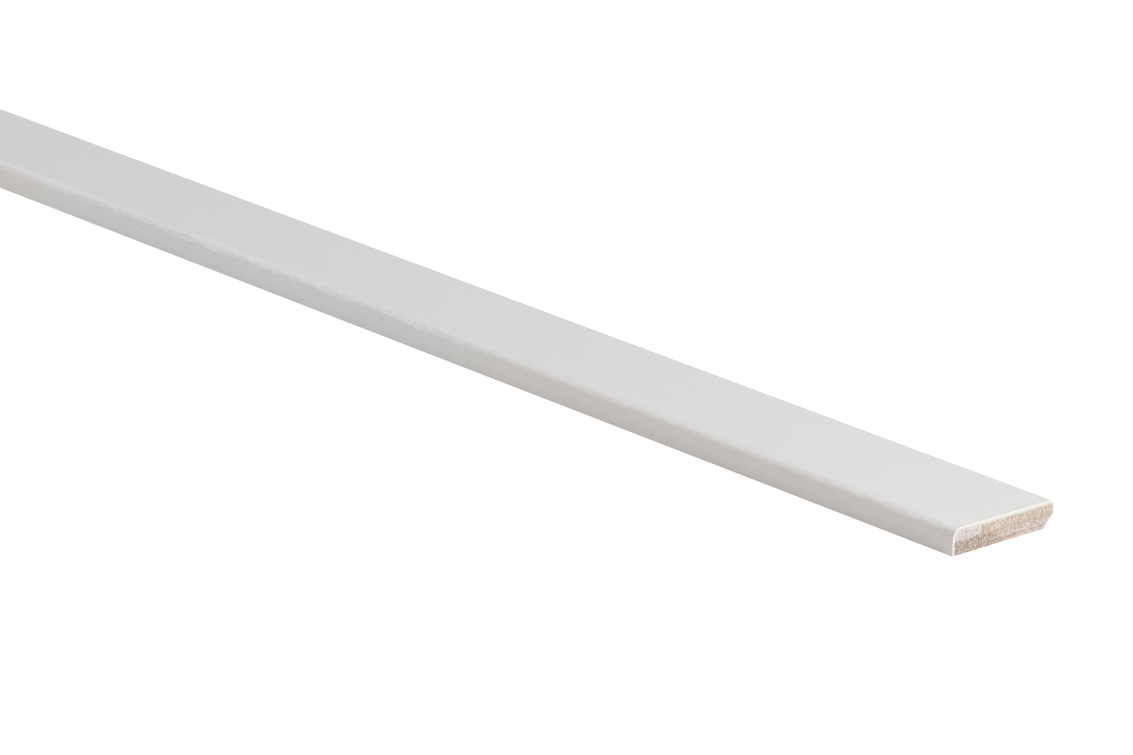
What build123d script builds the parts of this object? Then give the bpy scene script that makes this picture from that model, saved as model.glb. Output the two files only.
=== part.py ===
from build123d import *
import os

# Stick-on skirting strip: a moulded timber core with a white foil wrapped round it.
# It lies on its bare back. +X runs along the strip, +Y goes across it from the rounded
# edge to the bevelled foot, and +Z points out of the show face. The origin is under the
# middle of the strip, on the plane of the back. All sizes are in millimetres.

# Sold size, over the foil
LENGTH = 2400.0
WIDTH = 24.0
THICKNESS = 5.0

# Gauge of the foil, the same all round
FOIL = 0.4

# Edges that the moulder cuts on the core before the foil goes on
ROUNDED_EDGE_RADIUS = 1.6  # long edge that ends up on top, show face side
FOOT_CORNER_RADIUS = 0.4  # long edge that ends up on the floor, show face side
BEVEL_WIDTH = 2.2  # taken off the foot's back corner, measured across the back
BEVEL_HEIGHT = 2.5  # taken off the foot's back corner, measured up the foot
TOE_RADIUS = 0.2  # where the bevel meets the foot, eased so that the foil can turn it

# The foil covers both long edges and the show face, but not the back
CORE_WIDTH = WIDTH - 2 * FOIL
CORE_THICKNESS = THICKNESS - FOIL


def core_section():
    """Section of the core, drawn flat: x across the strip, y up from the back."""
    half = CORE_WIDTH / 2
    corners = [
        (-half, 0),
        (-half, CORE_THICKNESS),
        (half, CORE_THICKNESS),
        (half, BEVEL_HEIGHT),
        (half - BEVEL_WIDTH, 0),
    ]
    section = make_face(Polyline(*corners, close=True))
    toe = section.vertices().group_by(Axis.X)[-1].sort_by(Axis.Y)[0]
    section = fillet(toe, TOE_RADIUS)
    foot_corner = section.vertices().group_by(Axis.Y)[-1].sort_by(Axis.X)[-1]
    section = fillet(foot_corner, FOOT_CORNER_RADIUS)
    upper_corner = section.vertices().group_by(Axis.Y)[-1].sort_by(Axis.X)[0]
    return fillet(upper_corner, ROUNDED_EDGE_RADIUS)


def foil_section():
    """Section of the foil: the core's outline grown by the gauge, cut off level with the back."""
    grown = offset(core_section(), amount=FOIL, kind=Kind.ARC)
    in_front_of_back = Rectangle(2 * WIDTH, THICKNESS, align=(Align.CENTER, Align.MIN))
    return (grown & in_front_of_back) - core_section()


def full_length(section):
    """A flat section stood across the strip and run out to both sawn ends."""
    return extrude(Plane.YZ * section, amount=LENGTH / 2, both=True)


pieces = {
    "timber_core": full_length(core_section()),
    "foil_wrap": full_length(foil_section()),
}

os.makedirs("parts", exist_ok=True)
for name, piece in pieces.items():
    export_step(piece, f"parts/{name}.step")
    size = piece.bounding_box().size
    print(f"{name}: {size.X:.1f} x {size.Y:.1f} x {size.Z:.1f} mm, {piece.volume / 1000:.1f} cm3")
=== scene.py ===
# %% [markdown]
# # A foil-wrapped skirting strip
#
# The object is a thin flat strip that is glued or pinned over the gap at the foot of a wall.
# A moulder cuts a timber core, rounds one long edge, bevels the other, and a white foil is
# wrapped round the face and both edges. The back stays bare, and a saw cuts the ends.
#
# The CAD model gives the two pieces at their real size. This lesson gives them their looks:
# a foil with a soft satin face that shows a little of the timber under it, and a sawn end
# with the grain that the saw left open.

# %% Load the frame
from math import atan2, degrees, pi, radians, tan

import bmesh
import bpy
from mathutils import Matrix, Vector, noise


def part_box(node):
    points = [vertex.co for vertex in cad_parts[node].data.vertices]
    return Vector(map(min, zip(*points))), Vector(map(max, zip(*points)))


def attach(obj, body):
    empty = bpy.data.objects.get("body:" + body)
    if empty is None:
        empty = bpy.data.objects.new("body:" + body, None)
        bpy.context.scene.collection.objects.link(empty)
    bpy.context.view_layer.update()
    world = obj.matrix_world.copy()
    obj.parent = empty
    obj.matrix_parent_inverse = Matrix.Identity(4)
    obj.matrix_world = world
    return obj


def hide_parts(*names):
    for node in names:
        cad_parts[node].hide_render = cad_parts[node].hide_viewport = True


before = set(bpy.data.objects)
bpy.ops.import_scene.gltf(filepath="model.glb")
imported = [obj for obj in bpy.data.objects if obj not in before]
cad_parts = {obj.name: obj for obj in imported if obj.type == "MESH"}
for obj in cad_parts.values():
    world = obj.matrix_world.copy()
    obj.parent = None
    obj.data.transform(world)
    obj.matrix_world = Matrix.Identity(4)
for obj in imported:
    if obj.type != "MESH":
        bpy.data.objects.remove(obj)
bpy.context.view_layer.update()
print("nodes:", sorted(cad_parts))

# %% [markdown]
# ## Sizes
#
# The frame already knows how long, wide and thick the strip is, and the foil's gauge is the
# step between the two boxes. Reading them here means that nothing has to be fitted later.
# The cuts of the moulder are not in a box, so they are named in millimetres.

# %% Measure the strip
MM = 0.001
foil_low, foil_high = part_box("foil_wrap")
core_low, core_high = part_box("timber_core")
length = core_high.x - core_low.x
gauge = core_low.y - foil_low.y

rounded_edge_radius = 1.6 * MM
foot_corner_radius = 0.4 * MM
bevel_width = 2.2 * MM
bevel_height = 2.5 * MM
toe_radius = 0.2 * MM

print(f"strip {length / MM:.0f} mm long, core {(core_high.y - core_low.y) / MM:.1f} mm wide")
print(f"foil {gauge / MM:.2f} mm thick")

# %% [markdown]
# ## The moulded outline
#
# Both pieces follow one outline: up the rounded edge, over the face, down the foot and in
# along the bevel. It could be drawn point by point with every arc worked out. It is simpler
# to draw the five corners, extrude the line to the full length, and let `bevel` round the
# long edges, as the moulder's knives do.

# %% Corners of the core's outline, as (y, z)
back_upper = (core_low.y, core_low.z)
face_upper = (core_low.y, core_high.z)
face_foot = (core_high.y, core_high.z)
toe = (core_high.y, core_low.z + bevel_height)
heel = (core_high.y - bevel_width, core_low.z)
toe_turn = atan2(bevel_width, bevel_height)
print(f"the bevel stands {degrees(toe_turn):.1f} degrees off the foot")

# %% Draw the outline out and round its edges
corner_reach = gauge / 9


def drawn_along(corners, closed):
    """A line through the corners at one end of the strip, extruded to the other end."""
    sheet = bmesh.new()
    line = [sheet.verts.new((core_low.x, y, z)) for y, z in corners]
    pairs = list(zip(line, line[1:]))
    if closed:
        pairs.append((line[-1], line[0]))
    edges = [sheet.edges.new(pair) for pair in pairs]
    grown = bmesh.ops.extrude_edge_only(sheet, edges=edges)["geom"]
    far_line = [element for element in grown if isinstance(element, bmesh.types.BMVert)]
    bmesh.ops.translate(sheet, verts=far_line, vec=(length, 0, 0))
    return sheet


def runs_through(edge, corner):
    """Whether an edge runs along the strip through one corner of the outline."""
    return all((vertex.co.yz - Vector(corner)).length < corner_reach for vertex in edge.verts)


def round_long_edge(sheet, corner, radius, turn, segments):
    """Rounds the edge that runs along the strip through one corner of the outline."""
    bmesh.ops.bevel(
        sheet,
        geom=[edge for edge in sheet.edges if runs_through(edge, corner)],
        affect="EDGES",
        offset_type="OFFSET",
        offset=radius * tan(turn / 2),
        segments=segments,
        profile=0.5,
        material=-1,
    )


def round_moulded_edges(sheet):
    """The three edges that the moulder's knives round."""
    round_long_edge(sheet, face_upper, rounded_edge_radius, pi / 2, segments=14)
    round_long_edge(sheet, face_foot, foot_corner_radius, pi / 2, segments=6)
    round_long_edge(sheet, toe, toe_radius, toe_turn, segments=4)


# %% [markdown]
# ## The foil
#
# On the real strip the foil is a flat web that rollers press round the core, so it is one
# even skin. It starts here as a sheet on the core's own outline, run on a little past the
# back. `solidify` gives it the gauge, outwards, and `bisect_plane` trims it level with the
# back, which leaves the slanted cut edge at the heel that a trimming knife would leave.


# %% Wrap the foil
def trimmed_at_back(skin):
    """Cuts a skin off level with the back and closes its cut edges."""
    everything = skin.verts[:] + skin.edges[:] + skin.faces[:]
    cut = bmesh.ops.bisect_plane(
        skin, geom=everything, plane_co=core_low, plane_no=(0, 0, 1), clear_inner=True
    )
    rim = [element for element in cut["geom_cut"] if isinstance(element, bmesh.types.BMEdge)]
    bmesh.ops.edgeloop_fill(skin, edges=rim)


def wrapped_foil():
    """The foil as a closed skin round the core, with plain long faces."""
    run_on = 2 * gauge
    past_back = (core_low.y, core_low.z - run_on)
    past_heel = (heel[0] - run_on * bevel_width / bevel_height, heel[1] - run_on)
    skin = drawn_along([past_back, face_upper, face_foot, toe, past_heel], closed=False)
    round_moulded_edges(skin)
    if max(skin.faces, key=lambda face: face.calc_area()).normal.z > 0:
        bmesh.ops.reverse_faces(skin, faces=skin.faces[:])
    bmesh.ops.solidify(skin, geom=skin.faces[:], thickness=gauge)
    trimmed_at_back(skin)
    bmesh.ops.recalc_face_normals(skin, faces=skin.faces[:])
    return skin


foil_mesh = wrapped_foil()
foil_top = max(vertex.co.z for vertex in foil_mesh.verts)
print(f"foil section: {len(foil_mesh.faces)} faces, top at {foil_top / MM:.2f} mm")

# %% [markdown]
# ## Ripples on the rounded edge
#
# The foil is thin, so torn grain on the timber shows through it as short ripples, most of all
# where it is pulled tight round the edge. Bump in the material would do on the flat face.
# Round the edge the light turns quickly, and a ripple there moves the line between light and
# shade, so these are real: `subdivide_edges` cuts the long faces short, and the outer points
# are lifted along their normals by a noise that is drawn out along the grain. How torn the
# grain is under each point stays on the mesh as an attribute, which the finish reads later.

# %% Cut the long faces short
wide_face = (10 * MM, 100 * MM)
narrow_edge = (bevel_height, 10 * MM)
full_run = (length / 2, 2 * length)
face_strips = 8
edge_strips = 2
ring_pitch = 2.4 * MM


def cut_edges(skin, shortest, longest, count):
    """Divides every edge of a certain length into a number of equal parts."""
    chosen = [edge for edge in skin.edges if shortest < edge.calc_length() < longest]
    bmesh.ops.subdivide_edges(skin, edges=chosen, cuts=count - 1, use_grid_fill=True)


cut_edges(foil_mesh, *wide_face, face_strips)
cut_edges(foil_mesh, *narrow_edge, edge_strips)
cut_edges(foil_mesh, *full_run, round(length / ring_pitch))
print("foil after cutting:", len(foil_mesh.faces), "faces")

# %% Torn grain under the foil
ripple_height = 0.35 * MM
ripple_reach = 6 * MM
ripple_run = 5 * MM
ripple_width = 1.3 * MM
torn_stretch = 60 * MM
torn_slice = (27.75, 4.0)
torn_share = 0.2
least_torn = 0.15
face_wave_height = 0.012 * MM
face_wave_run = 45 * MM
face_wave_width = 7 * MM
face_wave_slice = 9.0
sharp_edge = Vector((foil_low.y, foil_high.z))


def fractal(place, octaves):
    """Noise about 0 in octaves, each half as large and half as strong as the last."""
    return noise.fractal(place, 1.0, 2.0, octaves)


def torn_grain(point):
    """How torn the timber under the foil is: 0 where it is sound, near 1 at its worst."""
    patches = noise.noise(Vector((point.x / torn_stretch, *torn_slice)))
    near_edge = max(0, 1 - (point.yz - sharp_edge).length / ripple_reach)
    return (least_torn + max(0, patches + torn_share)) * near_edge


def lift(point, torn):
    """How far the foil stands out at a point, in metres."""
    x, y, z = point
    grain = fractal(Vector((x / ripple_run, y / ripple_width, z / ripple_width)), octaves=2)
    wave = noise.noise(Vector((x / face_wave_run, y / face_wave_width, face_wave_slice)))
    return ripple_height * torn * grain + face_wave_height * wave


# %% Lift the ripples
middle_height = (core_low.z + core_high.z) / 2


def looks_out(normal, point):
    """Whether a normal at a point looks away from the middle of the section."""
    return normal.dot(Vector((0, point.y, point.z - middle_height))) > 0


foil_mesh.normal_update()
torn_layer = foil_mesh.verts.layers.float.new("torn")
lifts = []
for vertex in foil_mesh.verts:
    if looks_out(vertex.normal, vertex.co) and vertex.co.z > core_low.z + gauge:
        vertex[torn_layer] = torn_grain(vertex.co)
        lifts.append(lift(vertex.co, vertex[torn_layer]))
        vertex.co.yz += vertex.normal.yz.normalized() * lifts[-1]
print(f"lifted {len(lifts)} points by {min(lifts) / MM:.3f} to {max(lifts) / MM:.3f} mm")

# %% [markdown]
# ## The core
#
# The core shows at its back and at the two sawn ends. It is the same outline, closed along
# the back. A sawn end is never flat: the teeth leave upright marks and pull fibres out. Each
# end is inset by a hair so that its rim stays crisp, crossed by `bisect_plane` into small
# squares, and pressed in by noise, deepest where fibres were torn.


# %% Mould the core
def moulded_core():
    """The core as a closed solid with plain ends."""
    core = drawn_along([back_upper, face_upper, face_foot, toe, heel], closed=True)
    for end in (core_low.x, core_high.x):
        rim = [edge for edge in core.edges if all(abs(v.co.x - end) < gauge for v in edge.verts)]
        bmesh.ops.edgeloop_fill(core, edges=rim)
    round_moulded_edges(core)
    bmesh.ops.recalc_face_normals(core, faces=core.faces[:])
    return core


core_mesh = moulded_core()
print(f"core: {len(core_mesh.faces)} faces, {core_mesh.calc_volume() / MM**3 / 1000:.1f} cm3")

# %% Marks of the saw
tooth_mark = 0.03 * MM
tooth_width = 0.5
tooth_run = 4
torn_fibre = 0.06 * MM
fibre_size = 0.7


def torn_depth(point):
    """How deep the saw left a point of an end, in metres."""
    x, y, z = point / MM
    teeth = noise.noise(Vector((x, y / tooth_width, z / tooth_run)))
    fibres = fractal(Vector((x, y / fibre_size, z / fibre_size)), octaves=3)
    return max(0, tooth_mark * (1 + teeth) + torn_fibre * fibres)


# %% Saw the ends
sawn_rim = 0.05 * MM
sawn_square = 0.25 * MM
LONG_GRAIN, SAWN_END = 0, 1


def steps(low, high, size):
    """Places between two ends that divide the way into parts of about a size."""
    count = round((high - low) / size)
    return [low + (high - low) * step / count for step in range(1, count)]


def looks_along(normal):
    """Whether a face looks along the strip, as the two ends do."""
    return abs(normal.x) > 0.5


def crossed(shape, elements, place, way):
    """Cuts some elements of a shape by a plane, and gives them back with what the cut made."""
    once_each = list(dict.fromkeys(elements))
    return bmesh.ops.bisect_plane(shape, geom=once_each, plane_co=place, plane_no=way)["geom"]


def saw_end(core, way):
    """Roughens one end of the core. way is 1 for the end at high x and -1 for the other."""
    end = [face for face in core.faces if looks_along(face.normal) and face.normal.x * way > 0]
    bmesh.ops.inset_region(core, faces=end, thickness=sawn_rim, use_even_offset=True)
    elements = end[:]
    for face in end:
        elements += face.edges[:] + face.verts[:]
    for y in steps(core_low.y, core_high.y, sawn_square):
        elements = crossed(core, elements, (0, y, 0), (0, 1, 0))
    for z in steps(core_low.z, core_high.z, sawn_square):
        elements = crossed(core, elements, (0, 0, z), (0, 0, 1))
    points = [element for element in elements if isinstance(element, bmesh.types.BMVert)]
    for point in points:
        point.co.x -= way * torn_depth(point.co)
    return len(points)


print("points on the sawn ends:", saw_end(core_mesh, 1), saw_end(core_mesh, -1))
core_mesh.normal_update()
for face in core_mesh.faces:
    face.material_index = SAWN_END if looks_along(face.normal) else LONG_GRAIN

# %% [markdown]
# ## A map for the core
#
# The two sawn ends are tiny beside the long back, but they carry most of the pattern. An
# automatic map would give them a few pixels, so the core brings a map of its own: each end
# fills a wide band, the back fills another, and the sides under the foil share a thin one.

# %% Lay out the core's map
map_bands = {
    "shown end": (0.70, 0.98),
    "other end": (0.40, 0.68),
    "back": (0.12, 0.38),
    "under foil": (0.02, 0.10),
}
core_map_width = (0.02, 0.98)
back_middle = Vector(((core_low.y + core_high.y) / 2, core_low.z))


def share(value, low, high):
    """Where a value lies between two limits, from 0 to 1."""
    return (value - low) / (high - low)


def spread(place, low, high):
    """The value at a place from 0 to 1 between two limits."""
    return low + (high - low) * place


def looks_down(normal):
    """Whether a face looks down, as the back and the trimmed edges of the foil do."""
    return normal.z < -0.9


def map_place(normal, point):
    """The band of the map that a face belongs to, and a point's place in that band."""
    across = share(point.y, core_low.y, core_high.y)
    if looks_along(normal):
        band = "shown end" if normal.x > 0 else "other end"
        return band, across, share(point.z, core_low.z, core_high.z)
    along = share(point.x, core_low.x, core_high.x)
    if looks_down(normal):
        return "back", along, across
    out = point.yz - back_middle
    return "under foil", along, atan2(out.y, out.x) / pi


core_map = core_mesh.loops.layers.uv.new("OFBake")
for face in core_mesh.faces:
    for loop in face.loops:
        band, u, v = map_place(face.normal, loop.vert.co)
        loop[core_map].uv = (spread(u, *core_map_width), spread(v, *map_bands[band]))
print("core map:", len(core_mesh.faces), "faces in", len(map_bands), "bands")

# %% [markdown]
# ## A map for the foil
#
# One map over the whole length would give each pixel more than two millimetres of foil, and
# the ripples would be lost in it. So the strip is laid out in eight stretches, one above the
# other, each with its outer skin and a thin row for the hidden inner skin. The cut ends get
# a band of their own at the top.

# %% Lay out the foil's map
stretch_count = 8
stretch_row = 0.86 / stretch_count
outer_row = (0.02, 0.80)
inner_row = (0.86, 0.96)
cap_band = (0.88, 0.99)
cap_width = 0.48
foil_map_width = (0.01, 0.99)


def section_place(point):
    """A number that grows along the section, from one trimmed edge of the foil to the other."""
    if point.y < 0:
        return point.y + 2 * point.z
    return point.y + 4 * foil_high.z - 2 * point.z


section_places = [section_place(vertex.co) for vertex in foil_mesh.verts]
section_ends = min(section_places), max(section_places)


def cap_place(point):
    """A point of a cut end in the map, where the two ends lie side by side."""
    u = (point.x > 0) / 2 + cap_width * share(point.y, foil_low.y, foil_high.y)
    return u, spread(share(point.z, foil_low.z, foil_high.z), *cap_band)


def skin_place(point, stretch, row):
    """A point of the long skin in the map, in a row of one stretch."""
    u = share(point.x, core_low.x, core_high.x) * stretch_count - stretch
    return u, stretch_row * (stretch + spread(share(section_place(point), *section_ends), *row))


foil_map = foil_mesh.loops.layers.uv.new("OFBake")
foil_mesh.normal_update()
for face in foil_mesh.faces:
    middle = face.calc_center_median()
    along = share(middle.x, core_low.x, core_high.x)
    stretch = min(int(along * stretch_count), stretch_count - 1)
    outside = looks_out(face.normal, middle) and not looks_down(face.normal)
    row = outer_row if outside else inner_row
    for loop in face.loops:
        point = loop.vert.co
        u, v = cap_place(point) if looks_along(face.normal) else skin_place(point, stretch, row)
        loop[foil_map].uv = (spread(u, *foil_map_width), v)
print(f"foil map: {stretch_count} stretches of {length / stretch_count / MM:.0f} mm")

# %% [markdown]
# ## Shader maths in Python
#
# A finish is a tree of nodes, and most of the tree is arithmetic. The class below wraps one
# output socket, so that `1 - mask * 0.5` adds the Math nodes by itself. Every other node
# comes from its `node` method: the type, the settings, then the sockets.


# %% A socket with operators
class Value:
    """One output of a shader node, with Python's operators as Math nodes."""

    def __init__(self, socket):
        self.socket = socket

    def node(self, kind, settings, sockets, output=0):
        """Adds a node of a type, sets it up, and fills its sockets with values or links."""
        tree = self.socket.id_data
        made = tree.nodes.new("ShaderNode" + kind)
        for name, setting in settings.items():
            setattr(made, name, setting)
        for name, value in sockets.items():
            if isinstance(value, Value):
                tree.links.new(value.socket, made.inputs[name])
            else:
                made.inputs[name].default_value = value
        return Value(made.outputs[output])

    def maths(self, operation, first, second):
        """Adds a Math node of two values or numbers."""
        return self.node("Math", {"operation": operation}, {0: first, 1: second})

    def __add__(self, other):
        return self.maths("ADD", self, other)

    def __sub__(self, other):
        return self.maths("SUBTRACT", self, other)

    def __rsub__(self, other):
        return self.maths("SUBTRACT", other, self)

    def __mul__(self, other):
        return self.maths("MULTIPLY", self, other)

    __radd__ = __add__
    __rmul__ = __mul__

    def feed(self, shader, name):
        """Links this value to a socket of a shader."""
        self.socket.id_data.links.new(self.socket, shader.inputs[name])


# %% Masks and patterns
ALONG, ACROSS, UP = 0, 1, 2


def part(place, axis):
    """One coordinate of a place: along the strip, across it, or up from its back."""
    return place.node("SeparateXYZ", {}, {0: place}, output=axis)


def lumps(place, size, drawn_out=1, detail=2, seed=0):
    """Noise from 0 to 1 with lumps of a size in millimetres, drawn out along the strip."""
    scale = (1 / size / drawn_out, 1 / size, 1 / size)
    spot = place.node("Mapping", {}, {"Vector": place, "Scale": scale, "Location": (seed, seed, seed)})
    return spot.node("TexNoise", {}, {"Vector": spot, "Scale": 1.0, "Detail": detail})


def rise(value, start, end):
    """A smooth step from 0 to 1 as a value goes from start to end."""
    limits = {"Value": value, "From Min": start, "From Max": end}
    return value.node("MapRange", {"interpolation_type": "SMOOTHSTEP"}, limits)


def between(value, start, end, soft):
    """1 where a value lies between two limits, with soft borders."""
    return rise(value, start, start + soft) * (1 - rise(value, end - soft, end))


def wave_along(place, run, crest):
    """A wave from -1 to 1 along the strip, with its run and one crest in millimetres."""
    turn = (part(place, ALONG) - crest) * (2 * pi / run)
    return turn.node("Math", {"operation": "COSINE"}, {0: turn})


# %% Colours, relief and new finishes
def blend(mask, under, over):
    """A colour laid over another where a mask is 1."""
    return mask.node("Mix", {"data_type": "RGBA"}, {0: mask, 6: under, 7: over}, output=2)


def relief(height):
    """A bumped normal from a height in millimetres."""
    return height.node("Bump", {}, {"Strength": 1.0, "Distance": MM, "Height": height})


def new_finish(name):
    """A material, its shader, and the place on the piece in millimetres."""
    finish = bpy.data.materials.new(name)
    finish.use_nodes = True
    shader = finish.node_tree.nodes["Principled BSDF"]
    coordinates = Value(finish.node_tree.nodes.new("ShaderNodeTexCoord").outputs["Object"])
    place = coordinates.node("VectorMath", {"operation": "SCALE"}, {0: coordinates, "Scale": 1 / MM})
    return finish, shader, place


# %% [markdown]
# ## The foil's finish
#
# The foil is a warm white with a satin face. It could be one flat colour, but a real web has
# a fine peel from its printing roller, long faint streaks from the timber below, and a tone
# that drifts over a hand's width. Where it is pulled round the edge it is warmer in places.
# A highlight is painted along the ridge in some stretches, and painted highlights fleck the
# worst of the torn grain. All of it is weak: together it keeps the light alive. The cut edge
# is lighter, and it is greyer towards the foot.

# %% Whites of the foil
clear_white = (0.83, 0.825, 0.81, 1)
shaded_white = (0.79, 0.78, 0.765, 1)
warm_white = (0.81, 0.75, 0.71, 1)
# painted highlights in flecks over the torn grain
fleck_highlight_white = (0.92, 0.915, 0.9, 1)
# painted highlight on the ridge between the face and the rounded edge
ridge_highlight_white = (0.885, 0.88, 0.865, 1)
dragged_white = (0.84, 0.8, 0.77, 1)
clean_cut_white = (0.9, 0.865, 0.84, 1)
# greyer tone of the cut edge towards its foot
foot_grey_white = (0.68, 0.64, 0.58, 1)

# %% Satin foil, with places in millimetres across the strip and up from its back
stretched_across = (-11.8, -10.2)
stretched_up = (3.4, 4.8)
warm_strength = 0.76
ridge_across = (-11.3, -9.7)
ridge_up = (4.0, 4.4)
ridge_soft = 0.8
ridge_highlight_strength = 0.7
fleck_highlight_up = (3.6, 4.6)
fleck_highlight_strength = 0.7
peel_height = 0.004
streak_height = 0.012
tear_height = 0.7


def warmed(place):
    """1 on the side of the rounded edge, in some stretches along the strip."""
    on_side = 1 - rise(part(place, ACROSS), *stretched_across)
    below_face = 1 - rise(part(place, UP), *stretched_up)
    near_end = wave_along(place, run=320, crest=1137)
    past_end = wave_along(place, run=420, crest=1287)
    return on_side * below_face * rise(0.65 * near_end + 0.35 * past_end, -0.4, 0.2)


def painted_ridge_highlight(place):
    """1 where a highlight is painted on the ridge by the rounded edge, in stretches along the strip."""
    ridge = between(part(place, ACROSS), *ridge_across, ridge_soft) * rise(part(place, UP), *ridge_up)
    return ridge * rise(wave_along(place, run=310, crest=955), -0.2, 0.6)


def satin_foil():
    """The show side of the foil."""
    finish, shader, place = new_finish("satin_foil")
    drift = lumps(place, 40, drawn_out=3)
    streak = lumps(place, 1.4, drawn_out=40, detail=3)
    peel = lumps(place, 0.45)
    torn = place.node("Attribute", {"attribute_name": "torn"}, {}, output="Fac")
    tears = lumps(place, 0.8, drawn_out=3)
    specks = rise(lumps(place, 1.0, drawn_out=4, seed=30), 0.5, 0.66)
    # where highlights are painted in flecks over the torn grain near the ridge
    fleck_highlights = torn * specks * rise(part(place, UP), *fleck_highlight_up)
    colour = blend(0.5 * drift + 0.5 * streak, shaded_white, clear_white)
    colour = blend(warm_strength * warmed(place), colour, warm_white)
    # painted highlight flecks
    colour = blend(fleck_highlight_strength * fleck_highlights, colour, fleck_highlight_white)
    # painted highlight along the ridge, in some stretches
    colour = blend(ridge_highlight_strength * painted_ridge_highlight(place), colour, ridge_highlight_white)
    colour.feed(shader, "Base Color")
    (0.44 + 0.14 * peel).feed(shader, "Roughness")
    relief(peel_height * peel + streak_height * streak + tear_height * torn * tears).feed(shader, "Normal")
    shader.inputs["Specular IOR Level"].default_value = 0.3
    return finish


show_finish = satin_foil()
print("satin foil:", len(show_finish.node_tree.nodes), "nodes")

# %% Cut edge of the foil
foot_across = (11.2, 11.6)
foot_up = (1.8, 4.6)
foot_soft = 0.5


def cut_foil():
    """The foil's body, where the saw or the knife went through it."""
    finish, shader, place = new_finish("cut_foil")
    drag = lumps(place, 0.2, detail=3)
    at_foot = rise(part(place, ACROSS), *foot_across) * between(part(place, UP), *foot_up, foot_soft)
    colour = blend(drag, dragged_white, clean_cut_white)
    # the cut edge turns greyer towards the foot
    blend(at_foot, colour, foot_grey_white).feed(shader, "Base Color")
    (0.55 + 0.2 * drag).feed(shader, "Roughness")
    return finish


cut_finish = cut_foil()
print("cut foil:", len(cut_finish.node_tree.nodes), "nodes")

# %% [markdown]
# ## The timber's finish
#
# The colours of the sawn end are zones of one plank: pale sapwood in one corner, brown
# heartwood below it, tan in the middle, gold and pink towards the foot, and a dark broken
# seam along the bottom. They run through the whole strip, so the material is a solid one:
# masks across and up the section, with noise that is drawn out along the grain. The saw then
# shows it as end grain and the back shows it as long streaks. On the ends, glue shows as a
# pale fringe under the foil, and it has soaked into the sapwood.

# %% Colours of the timber
tan_wood = (0.675, 0.565, 0.465, 1)
gold_wood = (0.64, 0.53, 0.42, 1)
pink_wood = (0.635, 0.53, 0.475, 1)
brown_wood = (0.46, 0.342, 0.283, 1)
umber_wood = (0.35, 0.25, 0.205, 1)
pale_wood = (0.735, 0.675, 0.63, 1)
dark_pore = (0.2, 0.135, 0.11, 1)
light_fibre = (0.83, 0.76, 0.70, 1)
glue_white = (0.87, 0.84, 0.81, 1)
glue_haze = (0.76, 0.745, 0.75, 1)

# %% Zones of the plank, in millimetres across the strip and up from its back
upper_half_up = (2.35, 2.7)
towards_foot_across = (-2, 4)
sapwood_across = (-5.4, -5.1)
heartwood_across = (-4.5, 1.5)
lighter_heart_across = (-9, -5)
growth_line_up = (2.2, 2.7)
sapwood_line_across = (-5.4, -4.5)
seam_up = (0.42, 0.92)
seam_fade_across = (-6, -1)


def timber_colour(place):
    """The zones of the plank, with pores, light fibres and the seam over them."""
    wander = lumps(place, 1.6, drawn_out=60, detail=3) - 0.5
    across = part(place, ACROSS) + 1.6 * wander
    up = part(place, UP) + 0.7 * wander
    upper = rise(up, *upper_half_up)
    lower = 1 - upper
    towards_foot = rise(across, *towards_foot_across)
    sapwood = upper * (1 - rise(across, *sapwood_across))
    heartwood = lower * (1 - rise(across, *heartwood_across))
    colour = blend(upper * towards_foot, tan_wood, gold_wood)
    colour = blend(lower * towards_foot, colour, pink_wood)
    colour = blend(heartwood, colour, brown_wood)
    colour = blend(0.16 * lower * between(across, *lighter_heart_across, 1.2), colour, tan_wood)
    colour = blend(0.42 * between(up, *growth_line_up, 0.2), colour, brown_wood)
    colour = blend(0.85 * upper * between(across, *sapwood_line_across, 0.3), colour, brown_wood)
    colour = blend(sapwood, colour, pale_wood)
    pores = rise(lumps(place, 0.3, drawn_out=30), 0.47, 0.66)
    fibres = rise(lumps(place, 0.36, drawn_out=30, seed=50), 0.5, 0.68)
    colour = blend((0.5 + 0.4 * heartwood + 0.12 * sapwood) * pores, colour, dark_pore)
    colour = blend((0.6 + 0.2 * heartwood) * fibres, colour, light_fibre)
    widened = place.node("Mapping", {}, {"Vector": place, "Scale": (1, 0.5, 1)})
    dashes = rise(lumps(widened, 0.4, drawn_out=60, seed=80), 0.4, 0.54)
    seam = between(up, *seam_up, 0.15) * dashes
    return blend((0.9 - 0.3 * rise(across, *seam_fade_across)) * seam, colour, umber_wood)


# %% Planed back
knife_pitch = 1.8
knife_height = 0.003
grain_height = 0.03


def long_grain():
    """The back, with the fine ridges that the moulder's knives leave across it."""
    finish, shader, place = new_finish("planed_timber")
    timber_colour(place).feed(shader, "Base Color")
    grain = lumps(place, 0.3, drawn_out=30)
    (0.7 + 0.2 * grain).feed(shader, "Roughness")
    turn = part(place, ALONG) * (2 * pi / knife_pitch)
    knife = turn.node("Math", {"operation": "SINE"}, {0: turn})
    relief(grain_height * grain + knife_height * knife).feed(shader, "Normal")
    return finish


back_finish = long_grain()
print("planed back:", len(back_finish.node_tree.nodes), "nodes")

# %% Sawn ends, with places in millimetres
fringe_up = (4.1, 4.45)
soaked_up = (3.75, 4.15)
past_sapwood_across = (-5.4, -5.0)
haze_across = (-11.2, -10.2)
haze_up = (2.4, 3.0)
fuzz_height = 0.08
tooth_height = 0.04


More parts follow.
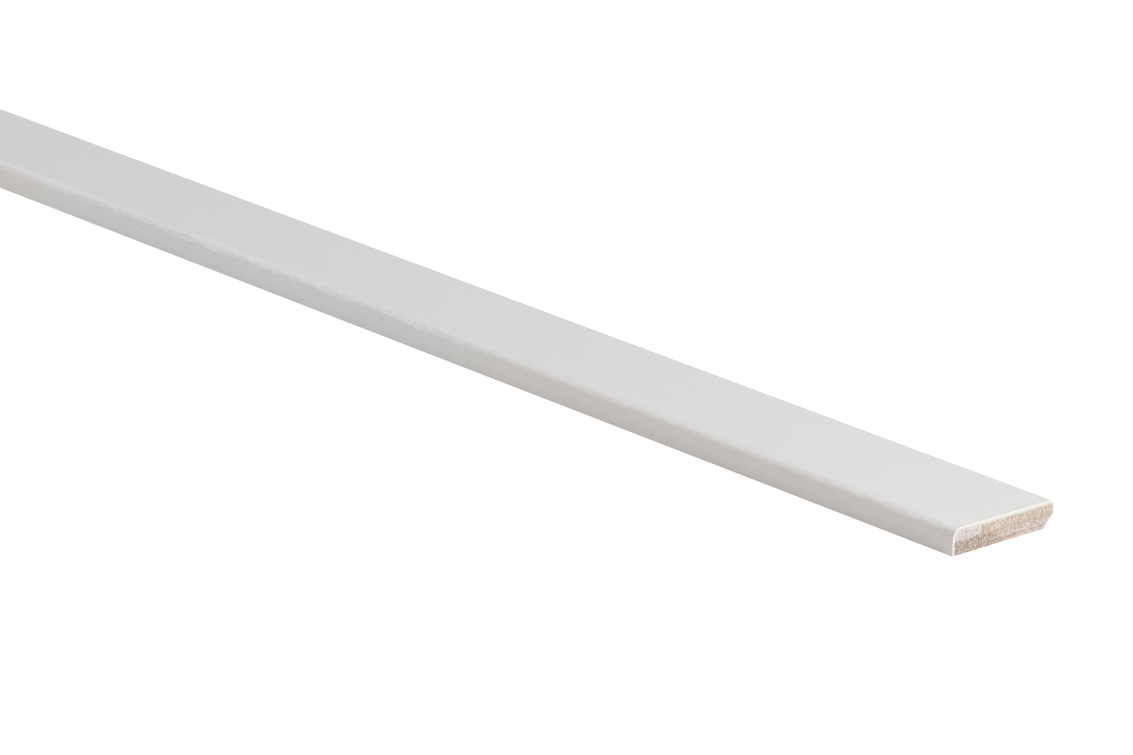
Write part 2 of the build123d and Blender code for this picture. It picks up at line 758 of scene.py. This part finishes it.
def sawn_end():
    """An end, with upright tooth marks, raised fuzz and a fringe of glue under the foil."""
    finish, shader, place = new_finish("sawn_end")
    fuzz = lumps(place, 0.3, detail=3)
    upright = place.node("Mapping", {}, {"Vector": place, "Scale": (1, 1, 0.15)})
    teeth = lumps(upright, 0.3, seed=20)
    wander = lumps(place, 0.8) - 0.5
    up = part(place, UP) + 0.4 * wander
    past_sapwood = rise(part(place, ACROSS), *past_sapwood_across)
    fringe = 0.85 * past_sapwood * rise(up, *fringe_up)
    soaked = 0.3 * (1 - past_sapwood) * rise(up, *soaked_up)
    haze = (1 - rise(part(place, ACROSS), *haze_across)) * rise(part(place, UP), *haze_up)
    colour = blend(0.3 * rise(teeth, 0.5, 0.65), timber_colour(place), light_fibre)
    colour = blend(0.5 * haze, colour, glue_haze)
    blend(fringe + soaked, colour, glue_white).feed(shader, "Base Color")
    (0.75 + 0.2 * fuzz).feed(shader, "Roughness")
    relief(fuzz_height * fuzz + tooth_height * teeth).feed(shader, "Normal")
    return finish


end_finish = sawn_end()
print("sawn end:", len(end_finish.node_tree.nodes), "nodes")

# %% [markdown]
# ## Finished pieces
#
# Each bmesh becomes a mesh object at the origin. Smooth shading with sharp edges by angle
# keeps the rounded edge soft and the cut edges crisp. Each piece rides on the strip's one
# body and stands for the CAD node that it dresses.

# %% Make the pieces
SHOW_SIDE, CUT_EDGE = 0, 1
sharp_angle = radians(50)


def finished_piece(name, shape, finishes, node):
    """Turns a bmesh into a piece that stands for a CAD node."""
    mesh = bpy.data.meshes.new(name)
    shape.to_mesh(mesh)
    shape.free()
    for finish in finishes:
        mesh.materials.append(finish)
    mesh.shade_smooth()
    mesh.set_sharp_from_angle(angle=sharp_angle)
    piece = bpy.data.objects.new(name, mesh)
    bpy.context.scene.collection.objects.link(piece)
    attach(piece, "root")
    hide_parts(node)
    mesh.calc_loop_triangles()
    print(name, "has", len(mesh.loop_triangles), "triangles")


for face in foil_mesh.faces:
    trimmed = looks_along(face.normal) or looks_down(face.normal)
    face.material_index = CUT_EDGE if trimmed else SHOW_SIDE

finished_piece("wrapped_foil", foil_mesh, [show_finish, cut_finish], "foil_wrap")
finished_piece("sawn_core", core_mesh, [back_finish, end_finish], "timber_core")

# %% [markdown]
# ## Floor and surroundings
#
# The strip lies on a plain white floor in a white room. Lighting the room until it clips
# would burn out the white foil too. Instead the floor and the world are pale for the light
# that falls on the strip, and white only to the eye: Light Path tells which ray is asking.
# Part of the floor still answers with real light, so that the strip keeps its shadow.

# %% White to the eye
white = (1, 1, 1, 1)
floor_bounce = (0.8, 0.8, 0.8, 1)
floor_shadow = (0.4, 0.4, 0.4, 1)
floor_glow = 0.93
sky_light = 0.26


def seen_directly(tree):
    """1 for the rays of the camera, of gloss and of glass, and 0 for the light that falls."""
    path = tree.nodes.new("ShaderNodeLightPath")
    camera_ray = Value(path.outputs["Is Camera Ray"])
    glossy_ray = Value(path.outputs["Is Glossy Ray"])
    glass_ray = Value(path.outputs["Is Transmission Ray"])
    return camera_ray.maths("MAXIMUM", camera_ray, glossy_ray.maths("MAXIMUM", glossy_ray, glass_ray))


def white_floor():
    """Pale to the light, white to the eye, with a share of real light for the shadow."""
    finish = bpy.data.materials.new("white_floor")
    finish.use_nodes = True
    tree = finish.node_tree
    tree.nodes.remove(tree.nodes["Principled BSDF"])
    direct = seen_directly(tree)
    bounce = direct.node("BsdfDiffuse", {}, {"Color": floor_bounce})
    shadowed = direct.node("BsdfDiffuse", {}, {"Color": floor_shadow})
    glow = direct.node("Emission", {}, {"Color": white, "Strength": floor_glow})
    seen = direct.node("AddShader", {}, {0: shadowed, 1: glow})
    either = direct.node("MixShader", {}, {0: direct, 1: bounce, 2: seen})
    either.feed(tree.nodes["Material Output"], "Surface")
    return finish


def white_room():
    """A world that lights the strip softly and is white to the eye."""
    room = bpy.data.worlds.new("white_room")
    room.use_nodes = True
    background = room.node_tree.nodes["Background"]
    direct = seen_directly(room.node_tree)
    (sky_light + (1 - sky_light) * direct).feed(background, "Strength")
    background.inputs["Color"].default_value = white
    bpy.context.scene.world = room


# %% Lay the floor and set the room
floor_size = 60
floor_drop = 0.05 * MM

ground = bmesh.new()
bmesh.ops.create_grid(ground, x_segments=1, y_segments=1, size=floor_size / 2)
bmesh.ops.translate(ground, verts=ground.verts[:], vec=(0, 0, foil_low.z - floor_drop))
floor_mesh = bpy.data.meshes.new("floor")
ground.to_mesh(floor_mesh)
ground.free()
floor_mesh.materials.append(white_floor())
floor = bpy.data.objects.new("floor", floor_mesh)
bpy.context.scene.collection.objects.link(floor)
white_room()
print(f"floor {floor_size} m wide, {floor_drop / MM:.2f} mm under the strip")

# %% [markdown]
# ## Lamps
#
# A soft key lamp hangs beyond the sawn end, so the end is brightest, the face comes next and
# falls off along the strip, and the rounded edge turns into shade. A low weak lamp beside
# the rounded edge keeps that shade even down to the floor, and a long soft lamp overhead
# keeps the rest of the strip from going dark.

# %% Hang the lamps
shown_end = Vector((core_high.x, 0, core_high.z / 2))
key_place = shown_end + Vector((0.64, 0.26, 0.58))
fill_place = Vector((0.68, -0.9, 0.1))
fill_aim = Vector((0.9, 0, 0))
overhead_place = Vector((-0.4, -0.3, 1.3))
overhead_aim = Vector((-0.4, 0, 0))


def soft_lamp(name, place, aim, watts, wide, deep):
    """A rectangular lamp at a place, turned to an aim and hidden from the camera."""
    light = bpy.data.lights.new(name, "AREA")
    light.energy = watts
    light.shape = "RECTANGLE"
    light.size = wide
    light.size_y = deep
    lamp = bpy.data.objects.new(name, light)
    lamp.location = place
    lamp.rotation_euler = (aim - place).to_track_quat("-Z", "Y").to_euler()
    lamp.visible_camera = False
    bpy.context.scene.collection.objects.link(lamp)
    print(name, "lamp:", watts, "W")


soft_lamp("key", key_place, shown_end, watts=7.1, wide=0.5, deep=0.5)
soft_lamp("fill", fill_place, fill_aim, watts=1.8, wide=0.6, deep=0.15)
soft_lamp("overhead", overhead_place, overhead_aim, watts=8.9, wide=2.0, deep=0.6)

# %% [markdown]
# ## Camera
#
# The picture looks down on the sawn end from beside the rounded edge, through a long lens.
# The camera's place and turn come from the straight edges of the strip in that picture.

# %% Set up the camera
camera_from_end = Vector((0.7497, -0.72696, 0.38212))
camera_turn = radians(50.025)
camera_rise = radians(18.685)
lens_length = 203.99
sensor_width = 36
nearest_seen = 0.01
farthest_seen = 200

lens = bpy.data.cameras.new("camera")
lens.lens = lens_length
lens.sensor_width = sensor_width
lens.clip_start = nearest_seen
lens.clip_end = farthest_seen
camera = bpy.data.objects.new("camera", lens)
camera.location = Vector((core_high.x, 0, core_low.z)) + camera_from_end
camera.rotation_euler = (pi / 2 - camera_rise, 0, camera_turn)
bpy.context.scene.collection.objects.link(camera)
bpy.context.scene.camera = camera
bpy.context.scene.view_settings.view_transform = "Standard"
print("camera", [round(c, 3) for c in camera.location])
